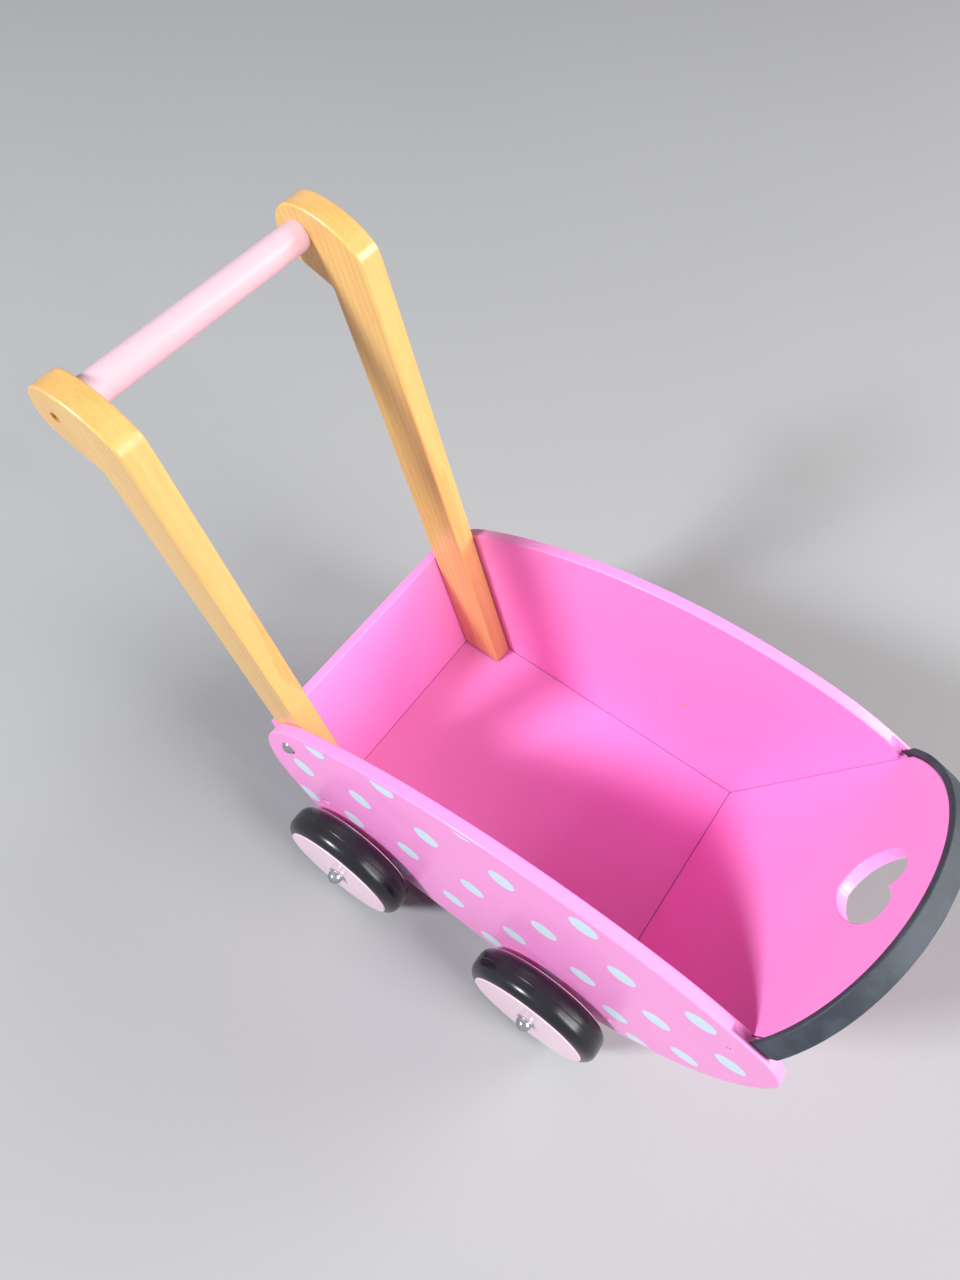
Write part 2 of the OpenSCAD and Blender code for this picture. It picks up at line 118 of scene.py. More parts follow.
class StrollerEdgeSettings(bpy.types.PropertyGroup):
    """Radii to which the edges are rounded"""

    panel: length("Panel edges", "Radius of the panels' free edges and of the heart", 1.4 * MM)
    joint: length("Joint edges", "Radius of the edges where boards meet", 0.6 * MM)
    arm: length("Arm edges", "Radius of the handle arms' edges", 2.0 * MM)
    strip: length("Bumper edges", "Radius of the bumper strip's edges", 1.5 * MM)
    rim: length("Disc rims", "Radius of the wheel discs' rims", 0.9 * MM)
    turns: IntProperty(name="Facets", description="Facets around each turned piece", default=128, min=24, max=256)


class StrollerStageSettings(bpy.types.PropertyGroup):
    """Floor, lamps and camera"""

    floor: colour("Floor", "Colour of the floor", (0.37, 0.37, 0.38))
    window: power("Window", "Power of the lamp behind the right side", 190.0)
    high: power("High", "Power of the lamp high ahead of the stroller", 30.0)
    ahead: power("Ahead", "Power of the lamp low ahead of the stroller", 140.0)
    beyond: power("Beyond", "Power of the lamp beyond the left side", 104.0)
    fade_start: length("Fade start", "Distance at which the floor begins to fade out", 2.2, high=20.0)
    fade_end: length("Fade end", "Distance at which the floor is gone", 4.6, high=20.0)
    lamp_distance: length("Lamp distance", "Distance of the lamps from the stroller", 4.0, high=20.0)
    window_size: length("Window size", "Edge of the square lamp behind the right side", 0.7, high=10.0)
    high_size: length("High size", "Edge of the square lamp high ahead", 0.7, high=10.0)
    soft_size: length("Soft size", "Edge of the other square lamps", 1.8, high=10.0)
    surroundings: FloatProperty(
        name="Surroundings", description="Strength of the even light from all sides", default=0.10)
    camera_place: FloatVectorProperty(
        name="Camera", description="Place of the camera", default=(0.13051, -0.27652, 0.88513), subtype="XYZ",
        unit="LENGTH")
    camera_heading: angle("Heading", "Turn of the camera's view from +Y towards -X", 32.34)
    camera_dip: angle("Dip", "Angle at which the camera looks down", 60.63)
    camera_roll: angle("Roll", "Turn of the camera about its view", 4.34)
    lens: FloatProperty(name="Lens", description="Focal length of the camera in millimetres", default=25.4)


def finish_settings():
    return bpy.context.scene.stroller_finish


def edge_settings():
    return bpy.context.scene.stroller_edges


# Node trees


def feed(tree, node, inputs):
    """Sets a node's sockets, given by name or number, to values or links them to other nodes' outputs."""
    for key, value in inputs.items():
        if isinstance(value, bpy.types.NodeSocket):
            tree.links.new(value, node.inputs[key])
        else:
            node.inputs[key].default_value = value


def add(tree, kind, inputs=None, **settings):
    """Adds a node with these inputs and settings."""
    made = tree.nodes.new(kind)
    for key, value in settings.items():
        setattr(made, key, value)
    feed(tree, made, inputs or {})
    return made


def calc(tree, operation, *values):
    return add(tree, "ShaderNodeMath", dict(enumerate(values)), operation=operation).outputs[0]


def times(tree, first, second):
    return calc(tree, "MULTIPLY", first, second)


def plus(tree, first, second):
    return calc(tree, "ADD", first, second)


def less(tree, first, second):
    return calc(tree, "SUBTRACT", first, second)


def vector_calc(tree, operation, *values):
    made = add(tree, "ShaderNodeVectorMath", dict(enumerate(values)), operation=operation)
    return made.outputs["Value" if operation in ("LENGTH", "DISTANCE", "DOT_PRODUCT") else "Vector"]


def blend(tree, factor, first, second):
    """Mixes two colours."""
    return add(tree, "ShaderNodeMix", {0: factor, 6: first, 7: second}, data_type="RGBA", clamp_factor=True).outputs[2]


def ramp(tree, value, low, high, to_low=0.0, to_high=1.0):
    """Eases from to_low to to_high while the value goes from low to high."""
    return add(tree, "ShaderNodeMapRange", {0: value, 1: low, 2: high, 3: to_low, 4: to_high},
               interpolation_type="SMOOTHSTEP").outputs[0]


def noise(tree, vector, scale, detail=3.0, rough=0.5):
    return add(tree, "ShaderNodeTexNoise",
               {"Vector": vector, "Scale": scale, "Detail": detail, "Roughness": rough}).outputs[0]


def drawn_out(tree, vector, scales, detail=2.0, rough=0.5):
    """Noise at its own scale along each axis."""
    return noise(tree, vector_calc(tree, "MULTIPLY", vector, scales), 1.0, detail, rough)


def opaque(rgb):
    return (*rgb, 1.0)


def new_group(name, inputs, outputs, kind="ShaderNodeTree"):
    """A node group with named sockets: inputs holds (name, socket type, default or None).

    Returns the tree, the sockets that bring the inputs, and the output node.
    """
    tree = bpy.data.node_groups.new(name, kind)
    for label, socket_type, default in inputs:
        socket = tree.interface.new_socket(label, in_out="INPUT", socket_type=socket_type)
        if default is not None:
            socket.default_value = default
    for label, socket_type in outputs:
        tree.interface.new_socket(label, in_out="OUTPUT", socket_type=socket_type)
    return tree, tree.nodes.new("NodeGroupInput").outputs, tree.nodes.new("NodeGroupOutput")


FLOAT, VECTOR, COLOUR = "NodeSocketFloat", "NodeSocketVector", "NodeSocketColor"
SURFACE = [("Color", COLOUR), ("Roughness", FLOAT), ("Height", FLOAT)]


def painted_surface_group():
    """Brushed or sprayed paint: faint clouding, orange peel, specks of dirt, hairline scuffs, and painted shade along
    the joints.
    """
    tree, given, out = new_group("Painted surface", [
        ("Vector", VECTOR, None), ("Paint", COLOUR, None), ("Clouding", FLOAT, 0.05), ("Dirt", FLOAT, 0.5),
        ("Gloss", FLOAT, 0.35), ("Seam", FLOAT, 0.0)], SURFACE)
    place, paint = given["Vector"], given["Paint"]
    clouds = noise(tree, place, 9.0)
    cloud = times(tree, less(tree, clouds, 0.5), given["Clouding"])
    toned = add(tree, "ShaderNodeHueSaturation", {"Color": paint, "Value": plus(tree, 1.0, cloud)})
    specks = add(tree, "ShaderNodeTexVoronoi", {"Vector": place, "Scale": 42.0}, feature="F1")
    rare = ramp(tree, noise(tree, place, 23.0, 1.0), 0.60, 0.66)
    speck = times(tree, ramp(tree, specks.outputs["Distance"], 0.035, 0.012), rare)
    scuffs = ramp(tree, drawn_out(tree, place, (240.0, 240.0, 14.0)), 0.735, 0.78)
    patchy = ramp(tree, noise(tree, place, 11.0, 2.0), 0.55, 0.68)
    scuff = times(tree, times(tree, scuffs, patchy), given["Dirt"])
    dirtied = blend(tree, times(tree, speck, given["Dirt"]), toned.outputs[0], (0.16, 0.03, 0.06, 1))
    scuffed = blend(tree, times(tree, scuff, 0.45), dirtied, (0.93, 0.70, 0.86, 1))
    uneven = ramp(tree, noise(tree, place, 30.0), 0.3, 0.7, -0.04, 0.05)
    peel = noise(tree, place, 420.0, 2.0)
    # The Seam input darkens the rounded joints between boards to near black: painted shade in the grooves.
    feed(tree, out, {
        "Color": blend(tree, times(tree, given["Seam"], 0.96), scuffed, (0.05, 0.005, 0.022, 1)),
        "Roughness": plus(tree, plus(tree, given["Gloss"], uneven), times(tree, scuff, 0.2)),
        "Height": less(tree, times(tree, peel, 0.12), times(tree, speck, 0.3))})
    return tree


def dots_group():
    """Dots on a slanting lattice that fans out from row to row and tapers towards its ends."""
    tree, given, out = new_group("Dots", [
        ("Vector", VECTOR, None), ("Diameter", FLOAT, 0.022), ("First", VECTOR, None), ("Along", VECTOR, None),
        ("Up", VECTOR, None), ("Fan", VECTOR, None), ("Taper", VECTOR, None)], [("Mask", FLOAT)])
    split = add(tree, "ShaderNodeSeparateXYZ", {0: given["Vector"]})
    flat = add(tree, "ShaderNodeCombineXYZ", {0: split.outputs[0], 1: split.outputs[2]}).outputs[0]
    away = vector_calc(tree, "SUBTRACT", flat, given["First"])
    along, up, fan = (given[k] for k in ("Along", "Up", "Fan"))

    def parts(vector):
        made = add(tree, "ShaderNodeSeparateXYZ", {0: vector})
        return made.outputs[0], made.outputs[1]

    def cross(first, second):
        (a, b), (c, d) = parts(first), parts(second)
        return less(tree, times(tree, a, d), times(tree, b, c))

    def scaled(vector, factor):
        return add(tree, "ShaderNodeVectorMath", {0: vector, "Scale": factor}, operation="SCALE").outputs[0]

    def counts(place):
        """How many steps along and up lead to a place."""
        return calc(tree, "DIVIDE", cross(place, up), area), calc(tree, "DIVIDE", cross(along, place), area)

    def cubed(value, share):
        size = calc(tree, "POWER", calc(tree, "ABSOLUTE", value), 3.0)
        return times(tree, size, times(tree, share, calc(tree, "SIGN", value)))

    area = cross(along, up)
    less_along, less_up = parts(given["Taper"])
    column, row = counts(away)
    for nearest in (False, True):
        if nearest:
            fanned = scaled(fan, times(tree, row, column))
            column, row = counts(vector_calc(tree, "SUBTRACT", away, fanned))
        column = plus(tree, column, cubed(column, less_along))
        row = plus(tree, row, cubed(row, less_up))
    column, row = calc(tree, "ROUND", column), calc(tree, "ROUND", row)
    centre = vector_calc(tree, "ADD", scaled(along, less(tree, column, cubed(column, less_along))),
                         scaled(up, less(tree, row, cubed(row, less_up))))
    centre = vector_calc(tree, "ADD", centre, scaled(fan, times(tree, row, column)))
    reach = vector_calc(tree, "DISTANCE", away, centre)
    past = less(tree, reach, times(tree, given["Diameter"], 0.5))
    feed(tree, out, {"Mask": ramp(tree, past, 0.0002, -0.0002)})
    return tree


def beech_group():
    """Varnished beech: long streaks, short flecks, darker, speckled end grain, and painted shade blended in by the last
    input.
    """
    tree, given, out = new_group("Beech", [
        ("Vector", VECTOR, None), ("Facing", VECTOR, None), ("Light", COLOUR, None), ("Dark", COLOUR, None),
        ("Grime", FLOAT, 0.0)], SURFACE)
    light, dark = given["Light"], given["Dark"]
    turned = add(tree, "ShaderNodeMapping", {"Vector": given["Vector"], "Rotation": (0, REAR_LEAN, 0)}).outputs[0]
    warp = drawn_out(tree, turned, (9.0, 9.0, 3.0))
    bent = vector_calc(tree, "ADD", turned, add(tree, "ShaderNodeCombineXYZ", {
        0: times(tree, warp, 0.02), 1: times(tree, warp, 0.01)}).outputs[0])
    rings = add(tree, "ShaderNodeTexWave", {
        "Vector": vector_calc(tree, "MULTIPLY", bent, (1.0, 0.7, 0.06)), "Scale": 52.0, "Distortion": 3.5,
        "Detail": 3.0, "Detail Scale": 1.4}, wave_type="BANDS", bands_direction="X", wave_profile="SAW").outputs[1]
    streaks = drawn_out(tree, bent, (260.0, 260.0, 5.0), 4.0, 0.6)
    broad = drawn_out(tree, bent, (40.0, 40.0, 2.5))
    flecks = ramp(tree, drawn_out(tree, bent, (900.0, 900.0, 70.0), 1.0), 0.62, 0.72)
    tone = plus(tree, times(tree, rings, 0.22), times(tree, streaks, 0.35))
    tone = ramp(tree, plus(tree, tone, times(tree, broad, 0.45)), 0.30, 0.80)
    long_grain = blend(tree, times(tree, tone, 0.62), light, dark)
    long_grain = blend(tree, times(tree, flecks, 0.40), long_grain, dark)
    along = calc(tree, "ABSOLUTE", vector_calc(tree, "DOT_PRODUCT", given["Facing"], tuple(GRAIN)))
    pores = drawn_out(tree, turned, (700.0, 700.0, 90.0))
    across = drawn_out(tree, turned, (60.0, 420.0, 20.0))
    end_tone = plus(tree, ramp(tree, pores, 0.45, 0.75, 0.45, 0.75), ramp(tree, across, 0.4, 0.7, 0.0, 0.25))
    end_grain = blend(tree, end_tone, light, dark)
    clean = blend(tree, ramp(tree, along, 0.45, 0.9), long_grain, end_grain)
    # The last input blends in painted shade as a near-black brown.
    feed(tree, out, {
        "Color": blend(tree, given["Grime"], clean, (0.055, 0.008, 0.010, 1)),
        "Roughness": plus(tree, 0.30, times(tree, streaks, 0.14)),
        "Height": plus(tree, times(tree, streaks, 0.5), times(tree, flecks, -0.3))})
    return tree


def rubber_group():
    """Moulded rubber or foam with clouding, dust and fine scuffs."""
    tree, given, out = new_group("Rubber", [
        ("Vector", VECTOR, None), ("Rubber", COLOUR, None), ("Dust", FLOAT, 0.2), ("Scuffs", FLOAT, 0.5),
        ("Grain", FLOAT, 0.5), ("Gloss", FLOAT, 0.4)], SURFACE)
    place = given["Vector"]
    clouds = ramp(tree, noise(tree, place, 34.0, 4.0, 0.6), 0.38, 0.72)
    fine = noise(tree, place, 700.0, 2.0)
    scuffs = ramp(tree, drawn_out(tree, place, (60.0, 700.0, 60.0)), 0.66, 0.74)
    dust = times(tree, plus(tree, clouds, times(tree, scuffs, given["Scuffs"])), given["Dust"])
    feed(tree, out, {
        "Color": blend(tree, dust, given["Rubber"], (0.16, 0.19, 0.24, 1)),
        "Roughness": plus(tree, given["Gloss"], times(tree, dust, 0.5)),
        "Height": times(tree, fine, given["Grain"])})
    return tree


def metal_group():
    """Plated metal: hairline scratches and faint clouding of the polish."""
    tree, given, out = new_group("Plated metal", [
        ("Vector", VECTOR, None), ("Metal", COLOUR, None), ("Polish", FLOAT, 0.15)], SURFACE)
    place = given["Vector"]
    lines = drawn_out(tree, place, (300.0, 2600.0, 300.0))
    shade = ramp(tree, noise(tree, place, 240.0), 0.35, 0.7, 0.9, 1.05)
    tinted = add(tree, "ShaderNodeHueSaturation", {"Color": given["Metal"], "Value": shade})
    feed(tree, out, {
        "Color": tinted.outputs[0],
        "Roughness": plus(tree, given["Polish"], ramp(tree, lines, 0.4, 0.8, -0.02, 0.12)),
        "Height": times(tree, lines, 0.3)})
    return tree


def shared(name, make):
    return bpy.data.node_groups.get(name) or make()


def new_material(name, bump, **shader):
    """A material with a Principled shader whose constants are set, object coordinates and a bump node."""
    made = bpy.data.materials.new(name)
    made.use_nodes = True
    tree = made.node_tree
    tree.nodes.clear()
    surface = add(tree, "ShaderNodeBsdfPrincipled", {k.replace("_", " "): v for k, v in shader.items()})
    add(tree, "ShaderNodeOutputMaterial", {"Surface": surface.outputs[0]})
    place = add(tree, "ShaderNodeTexCoord").outputs
    lift = add(tree, "ShaderNodeBump", {"Strength": 1.0, "Distance": bump})
    feed(tree, surface, {"Normal": lift.outputs[0]})
    return made, tree, surface, place, lift


def use_group(tree, group, place, surface, lift, inputs):
    """Lets a surface group with these inputs give the colour, roughness and height; returns its outputs."""
    made = add(tree, "ShaderNodeGroup", {"Vector": place["Object"], **inputs}, node_tree=group).outputs
    feed(tree, surface, {"Base Color": made["Color"], "Roughness": made["Roughness"]})
    feed(tree, lift, {"Height": made["Height"]})
    return made


def face_mark(tree, name):
    """How far a face carries the mark of that name."""
    return add(tree, "ShaderNodeAttribute", attribute_name=name, attribute_type="GEOMETRY").outputs["Fac"]


def once(name):
    """Keeps a material that was made before under the same name."""
    def keep(make):
        return lambda: bpy.data.materials.get(name) or make(name)
    return keep


def pink_material(name):
    return new_material(name, 0.00006, Coat_Weight=0.25, Coat_Roughness=0.12, IOR=1.45)


def painted(parts, **inputs):
    """Gives a new material, as new_material returns it, the painted surface."""
    made, tree, surface, place, lift = parts
    return use_group(tree, shared("Painted surface", painted_surface_group), place, surface, lift, inputs)


@once("Pink paint")
def pink_paint(name):
    parts = pink_material(name)
    # The seam mark brings painted shade into the boards' joints.
    painted(parts, Paint=opaque(finish_settings().pink), Clouding=0.06, Dirt=0.6, Gloss=0.42,
            Seam=face_mark(parts[1], "seam"))
    return parts[0]


@once("Dotted pink paint")
def dotted_paint(name):
    parts = pink_material(name)
    made, tree, surface, place, lift = parts
    wanted, here = finish_settings(), place["Object"]
    places = {"First": wanted.dot_origin, "Along": wanted.dot_along, "Up": wanted.dot_up, "Fan": wanted.dot_fan,
              "Taper": wanted.dot_taper}
    spots = add(tree, "ShaderNodeGroup", {"Vector": here, "Diameter": wanted.dot_size,
                **{key: (*value, 0.0) for key, value in places.items()}}, node_tree=shared("Dots", dots_group))
    mask = times(tree, spots.outputs["Mask"], face_mark(tree, "dotted"))
    paint = blend(tree, mask, opaque(wanted.pink), opaque(wanted.dots))
    stain_place = (97.1 * MM, INNER_Y, 177.7 * MM)
    uneven = times(tree, noise(tree, here, 260.0, 2.0), 4 * MM)
    reach = plus(tree, vector_calc(tree, "DISTANCE", here, stain_place), uneven)
    paint = blend(tree, ramp(tree, reach, 6.2 * MM, 3.4 * MM, 0.0, 0.85), paint, (0.97, 0.34, 0.34, 1))
    height = painted(parts, Paint=paint, Clouding=0.06, Dirt=0.6, Gloss=0.42)["Height"]
    feed(tree, lift, {"Height": plus(tree, height, times(tree, mask, 0.35))})
    return made


def pale(name, rgb, gloss, coat):
    parts = new_material(name, 0.00005, Coat_Weight=coat, Coat_Roughness=0.08, IOR=1.45)
    painted(parts, Paint=opaque(rgb), Clouding=0.05, Dirt=0.35, Gloss=gloss)
    return parts[0]


@once("Pale pink paint")
def pale_paint(name):
    return pale(name, finish_settings().pale_pink, 0.34, 0.35)


@once("Grip paint")
def grip_paint(name):
    return pale(name, finish_settings().grip_pink, 0.5, 0.2)


@once("Nylon")
def nylon(name):
    parts = new_material(name, 0.00003, IOR=1.5)
    painted(parts, Paint=(0.78, 0.78, 0.76, 1), Clouding=0.08, Dirt=0.2, Gloss=0.4)
    return parts[0]


@once("Varnished beech")
def beech(name):
    """Beech with painted shade that darkens it in the gaps to the side panel, the rear panel and the floor."""
    made, tree, surface, place, lift = new_material(name, 0.00005, Coat_Weight=0.5, Coat_Roughness=0.14, IOR=1.5)
    wanted, round_over = finish_settings(), edge_settings().arm
    x, y, z = add(tree, "ShaderNodeSeparateXYZ", {0: place["Object"]}).outputs
    # Painted shade: the arm turns near black where it stands against the side panel below the rim, just before the rear
    # panel, and at its foot on the floor.
    against = ramp(tree, calc(tree, "ABSOLUTE", y), INNER_Y - round_over, INNER_Y - round_over * 0.3)
    over_rim = less(tree, z, times(tree, x, RIM_SLOPE))
    inside = ramp(tree, over_rim, RIM_LEVEL, RIM_LEVEL - 2.7 * MM)
    before_back = plus(tree, x, times(tree, z, math.tan(REAR_LEAN)))
    behind = ramp(tree, before_back, ARM_BACK + 1.5 * MM, ARM_BACK + 0.4 * MM)
    beside = times(tree, calc(tree, "MAXIMUM", against, behind), inside)
    foot = ramp(tree, z, FLOOR_Z + 2.2 * MM, FLOOR_Z + 0.6 * MM)
    painted_shade = times(tree, calc(tree, "MAXIMUM", beside, foot), 0.95)
    use_group(tree, shared("Beech", beech_group), place, surface, lift, {
        "Facing": place["Normal"], "Light": opaque(wanted.beech_light), "Dark": opaque(wanted.beech_dark),
        "Grime": painted_shade})
    return made


def rubber(name, bump, ior, **inputs):
    made, tree, surface, place, lift = new_material(name, bump, IOR=ior)
    use_group(tree, shared("Rubber", rubber_group), place, surface, lift, inputs)
    return made


@once("Tyre rubber")
def tyre_rubber(name):
    return rubber(name, 0.00004, 1.4, Rubber=opaque(finish_settings().tyre), Dust=0.03, Scuffs=0.0, Grain=0.15,
                  Gloss=0.24)


@once("Bumper foam")
def strip_foam(name):
    return rubber(name, 0.00012, 1.45, Rubber=opaque(finish_settings().strip), Dust=0.22, Scuffs=0.4, Grain=0.9,
                  Gloss=0.55)


def metal(name, rgb, polish):
    made, tree, surface, place, lift = new_material(name, 0.00001, Metallic=1.0)
    use_group(tree, shared("Plated metal", metal_group), place, surface, lift, {"Metal": opaque(rgb), "Polish": polish})
    return made


@once("Chrome")
def chrome(name):
    return metal(name, (0.46, 0.47, 0.50), 0.11)


@once("Zinc plating")
def zinc(name):
    return metal(name, (0.62, 0.62, 0.64), 0.32)


# Meshes


def as_object(name, mesh, material=None):
    made = bpy.data.objects.new(name, mesh)
    bpy.context.scene.collection.objects.link(made)
    if material:
        mesh.materials.clear()
        mesh.materials.append(material)
    return made


def from_bmesh(name, shape, material):
    mesh = bpy.data.meshes.new(name)
    shape.to_mesh(mesh)
    shape.free()
    return as_object(name, mesh, material)


def smooth(piece, weighted):
    """Shades a piece smooth between its sharp edges, and large faces flat."""
    piece.data.shade_smooth()
    piece.data.set_sharp_from_angle(angle=math.radians(32))
    if weighted:
        piece.modifiers.new("Even shading", "WEIGHTED_NORMAL").keep_sharp = True


def settle(piece, body, node, weighted=True):
    """Shades a finished piece, which stands for its CAD node and moves with that node's body."""
    smooth(piece, weighted)
    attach(piece, body)
    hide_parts(node)


def welded(node):
    """A merged copy of a CAD node's mesh, with its flat faces made whole."""
    shape = bmesh.new()
    shape.from_mesh(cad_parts[node].data)
    shape.faces.layers.float.new("seam")
    bmesh.ops.remove_doubles(shape, verts=shape.verts, dist=1e-6)
    bmesh.ops.dissolve_limit(shape, angle_limit=math.radians(0.1), verts=shape.verts, edges=shape.edges)
    return shape


def round_edges(shape, radius, chosen, steps=4, seam=False):
    """Rounds the chosen edges; the new faces of a seam are marked, so that they can be shaded darker."""
    edges = [e for e in shape.edges if e.is_manifold and chosen(e)]
    made = bmesh.ops.bevel(shape, geom=edges, offset=radius, offset_type="OFFSET", segments=steps, profile=0.5,
                           affect="EDGES", clamp_overlap=False, loop_slide=True, miter_outer="SHARP")
    if seam:
        mark = shape.faces.layers.float["seam"]
        for face in made["faces"]:
            face[mark] = 1.0


def joined(items, beside):
    """Lists of the items that hang together; beside gives the items next to one."""
    seen, found = set(), []
    for first in items:
        if first not in seen:
            seen.add(first)
            found.append([first])
            for item in found[-1]:
                new = [other for other in dict.fromkeys(beside(item)) if other not in seen]
                seen.update(new)
                found[-1] += new
    return found


def edges_of(faces):
    """The faces' edges, each one once, in an order that stays the same from run to run."""
    return list(dict.fromkeys(e for f in faces for e in f.edges))


def fill_anew(shape, faces):
    """Fills flat faces anew between their outlines and holes, which rounding has moved."""
    inside, normal = set(faces), faces[0].normal.copy()
    rim = [e for e in edges_of(faces) if len(inside.intersection(e.link_faces)) == 1]
    outline = set(rim)
    bmesh.ops.delete(shape, geom=faces, context="FACES")
    filled = bmesh.ops.triangle_fill(shape, use_beauty=True, edges=rim, normal=normal)["geom"]
    inner = edges_of(f for f in filled if isinstance(f, bmesh.types.BMFace))
    inner = [e for e in inner if e not in outline]
    bmesh.ops.dissolve_limit(shape, angle_limit=math.radians(0.1), verts=[], edges=inner)


def fill_flats(shape):
    """Fills every large flat side anew."""
    def level_with(face):
        return [f for e in face.edges for f in e.link_faces if f.normal.dot(face.normal) > 0.999999]

    for side in joined(shape.faces, level_with):
        if max(len(f.verts) for f in side) >= 12:
            fill_anew(shape, side)


def corner(edge):
    return edge.calc_face_angle(0) > math.radians(40)


def at_y(part, *levels):
    """Whether all corners of an edge or face lie at one of those Y levels."""
    return any(all(abs(v.co.y - level) < 1e-5 for v in part.verts) for level in levels)


def hole_edges(shape):
    """The sharp edges that go round a hole: those on connected chains of sharp edges shorter than 60 mm in all."""
    sharp = {e for e in shape.edges if e.is_manifold and corner(e)}
    chains = joined(sharp, lambda edge: [e for v in edge.verts for e in v.link_edges if e in sharp])
    return {e for chain in chains if sum(e.calc_length() for e in chain) < 60 * MM for e in chain}


class STROLLER_OT_side_panels(bpy.types.Operator):
    """Round the side panels' edges and paint them with dots"""

    bl_idname = "stroller.side_panels"
    bl_label = "Side Panels"

    def execute(self, context):
        edges = edge_settings()
        for node in ("side_panel_right", "side_panel_left"):
            lo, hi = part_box(node)
            outer_y = lo.y if lo.y < 0 else hi.y
            shape = welded(node)
            small = hole_edges(shape)

            def through(face):
                ys = [v.co.y for v in face.verts]
                return max(ys) - min(ys) > hi.y - lo.y - 0.1 * MM

            def free_edge(e):
                if e in small or not corner(e) or not at_y(e, lo.y, hi.y):
                    return False
                return at_y(e, outer_y) or all(through(f) for f in e.link_faces if abs(f.normal.y) < 0.5)

            def outside():
                return [f for f in shape.faces if at_y(f, outer_y)]

            round_edges(shape, edges.panel, free_edge)
            fill_flats(shape)
            dotted = shape.faces.layers.float.new("dotted")
            holes = {v for e in hole_edges(shape) for v in e.verts}
            border = set(bmesh.ops.inset_region(
                shape, faces=outside(), use_boundary=True, use_even_offset=True,
                thickness=finish_settings().dot_margin - edges.panel)["faces"])
            fill_anew(shape, [f for f in outside() if f not in border])
            for face in outside():
                if face not in border or holes.intersection(face.verts):
                    face[dotted] = 1.0
            piece = from_bmesh("painted_" + node, shape, dotted_paint())
            settle(piece, "frame", node)
        return {"FINISHED"}


class STROLLER_OT_tub_boards(bpy.types.Operator):
    """Round the edges of the floor, the rear panel and the front panel with its heart"""

    bl_idname = "stroller.tub_boards"
    bl_label = "Tub Boards"

    def execute(self, context):
        edges = edge_settings()
        free_above = {"rear_panel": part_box("rear_panel")[1].z - 20 * MM, "front_panel": 200 * MM}
        for node in ("floor_panel", "rear_panel", "front_panel"):
            side_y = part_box(node)[1].y
            shape = welded(node)
            small = hole_edges(shape)

            def free_edge(e):
                high = all(v.co.z > free_above[node] for v in e.verts)
                return high and e not in small and corner(e) and not at_y(e, side_y, -side_y)

            def joint(e):
                if node == "floor_panel":
                    return corner(e) and e not in small
                upright = max(abs(f.normal.z) for f in e.link_faces) < 0.5
                return upright and corner(e) and at_y(e, side_y, -side_y)

            if node in free_above:
                round_edges(shape, edges.panel, free_edge)
            # The rounded joint faces are marked as seams, which the pink paint darkens with painted shade.
            round_edges(shape, edges.joint, joint, 2, seam=True)
            piece = from_bmesh("painted_" + node, shape, pink_paint())
            settle(piece, "frame", node)
        return {"FINISHED"}


class STROLLER_OT_bumper(bpy.types.Operator):
    """Round the bumper strip over the front panel's arch"""

    bl_idname = "stroller.bumper"
    bl_label = "Bumper Strip"

    def execute(self, context):
        shape = welded("bumper_strip")
        round_edges(shape, edge_settings().strip, corner, 3)
        piece = from_bmesh("foam_bumper_strip", shape, strip_foam())
        settle(piece, "frame", "bumper_strip")
        return {"FINISHED"}


class STROLLER_OT_handle(bpy.types.Operator):
    """Round the handle arms, the right one as the left one mirrored, and turn the grip"""

    bl_idname = "stroller.handle"
    bl_label = "Handle"

    def execute(self, context):
        edges = edge_settings()
        lo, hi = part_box("handle_arm_left")
        for node in ("handle_arm_right", "handle_arm_left"):
            shape = welded("handle_arm_left")
            small = hole_edges(shape)

            def long_edge(e):
                foot = all(v.co.z < lo.z + 0.1 * MM for v in e.verts)
                return e not in small and corner(e) and (foot or at_y(e, lo.y, hi.y))

            round_edges(shape, edges.arm, long_edge, 5)
            fill_flats(shape)
            if node == "handle_arm_right":
                bmesh.ops.scale(shape, vec=(1, -1, 1), verts=shape.verts)
                bmesh.ops.reverse_faces(shape, faces=shape.faces)
            piece = from_bmesh("beech_" + node, shape, beech())
            settle(piece, "frame", node)
        grip = rod("painted_grip", "handle_grip", grip_paint(), 0.6 * MM, 5)
        settle(grip, "frame", "handle_grip")
        return {"FINISHED"}


def rounded(corners, steps=5):
    """Outline points through corners given as (radius, along, round-over)."""
    points = []
    for i, (r, a, bend) in enumerate(corners):
        here = Vector((r, a))
        before = Vector(corners[i - 1][:2])
        after = Vector(corners[(i + 1) % len(corners)][:2])
        if bend <= 0:
            points.append(here)
            continue
        back, on = (before - here).normalized(), (after - here).normalized()
        half = math.acos(max(-1, min(1, back.dot(on)))) / 2
        reach = bend / math.tan(half)
        centre = here + (back + on).normalized() * (bend / math.sin(half))
        start, stop = here + back * reach - centre, here + on * reach - centre
        sweep = math.atan2(start.x * stop.y - start.y * stop.x, start.dot(stop))
        for k in range(steps + 1):
            turn = sweep * k / steps
            points.append(centre + Vector((start.x * math.cos(turn) - start.y * math.sin(turn),
                                           start.x * math.sin(turn) + start.y * math.cos(turn))))
    return points


